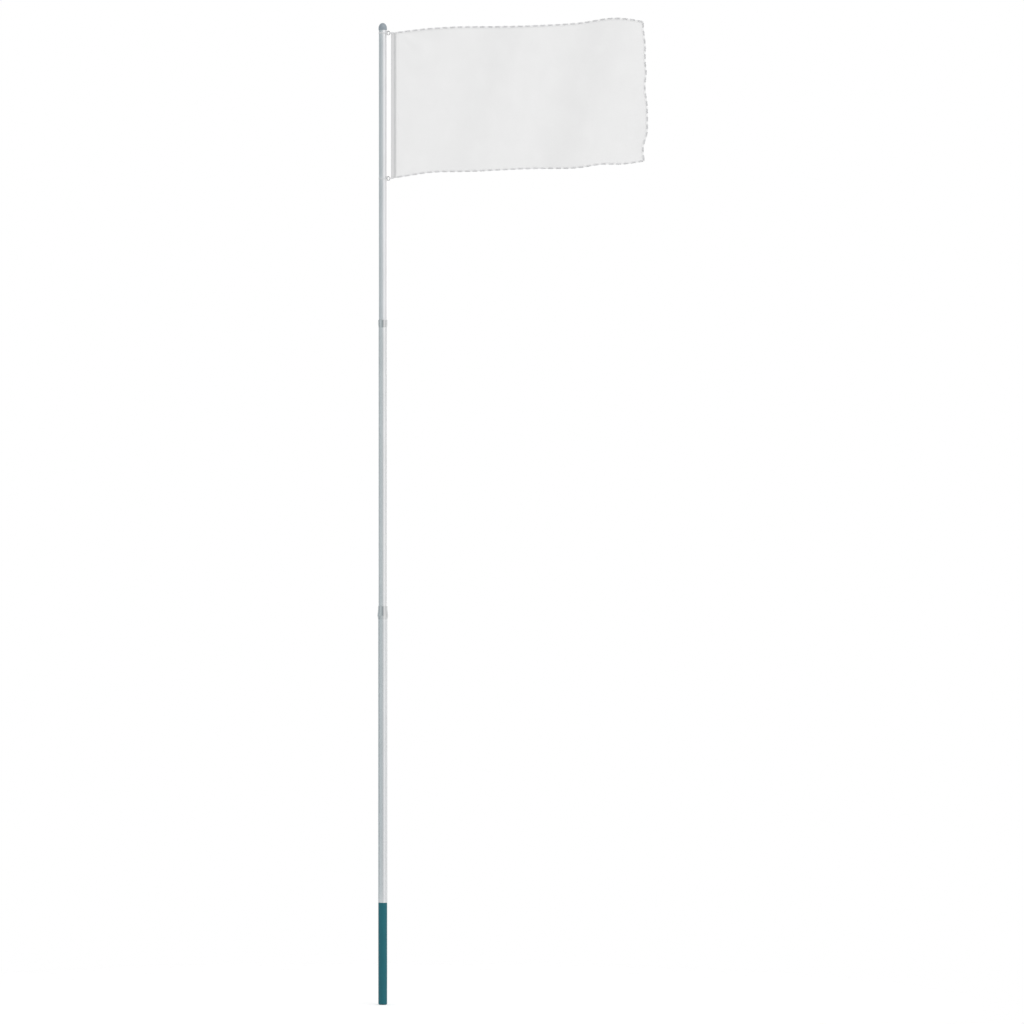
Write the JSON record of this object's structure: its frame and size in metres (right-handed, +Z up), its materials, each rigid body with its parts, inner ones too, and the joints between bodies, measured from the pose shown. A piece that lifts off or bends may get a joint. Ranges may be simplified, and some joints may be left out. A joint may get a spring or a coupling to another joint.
{
  "type": "flagpole",
  "caption": "Telescopic metal flagpole of three stepped tubes with clamp collars, a domed cap, a painted ground tube and a plain flag on swivel rings.",
  "frame": {"origin": "centre of the ground tube's flat foot, on the pole's axis", "axes": "+Z up the pole, +X from the pole along the flag, +Y away from the viewer of the picture"},
  "size_m": [1.6523, 0.07, 6.0309],
  "materials": {
    "ground_paint": "satin dark teal paint",
    "tube_metal": "satin anodised",
    "collar_metal": "polished",
    "cap_plastic": "glossy blue grey",
    "guide_plastic": "moulded",
    "ring_plastic": "moulded light grey",
    "link_steel": "dark plated",
    "webbing": "woven",
    "header_fabric": "strong canvas",
    "flag_fabric": "plain light grey woven cloth"
  },
  "bodies": {
    "base": {"foot_cap": "ground_paint", "ground_tube": "ground_paint", "ground_coupling": "tube_metal", "lower_tube": "tube_metal", "lower_collar": "collar_metal"},
    "middle": {"middle_tube": "tube_metal", "middle_guide": "guide_plastic", "upper_collar": "collar_metal"},
    "top": {"top_tube": "tube_metal", "top_guide": "guide_plastic", "top_cap": "cap_plastic"},
    "flag": {"upper_swivel_ring": "ring_plastic", "lower_swivel_ring": "ring_plastic", "upper_link": "link_steel", "upper_link_nut": "link_steel", "lower_link": "link_steel", "lower_link_nut": "link_steel", "upper_tab": "webbing", "lower_tab": "webbing", "header_tape": "header_fabric", "header_cord": "header_fabric", "flag_cloth": "flag_fabric"}
  },
  "joints": [
    {"name": "lower_slide", "type": "slide", "parent": "base", "child": "middle", "axis": [0, 0, -1], "range_m": [0, 1.45]},
    {"name": "upper_slide", "type": "slide", "parent": "middle", "child": "top", "axis": [0, 0, -1], "range_m": [0, 0.84]},
    {"name": "flag_swivel", "type": "hinge", "parent": "top", "child": "flag", "pos_m": [0, 0, 5.5], "axis": [0, 0, 1], "continuous": true}
  ]
}
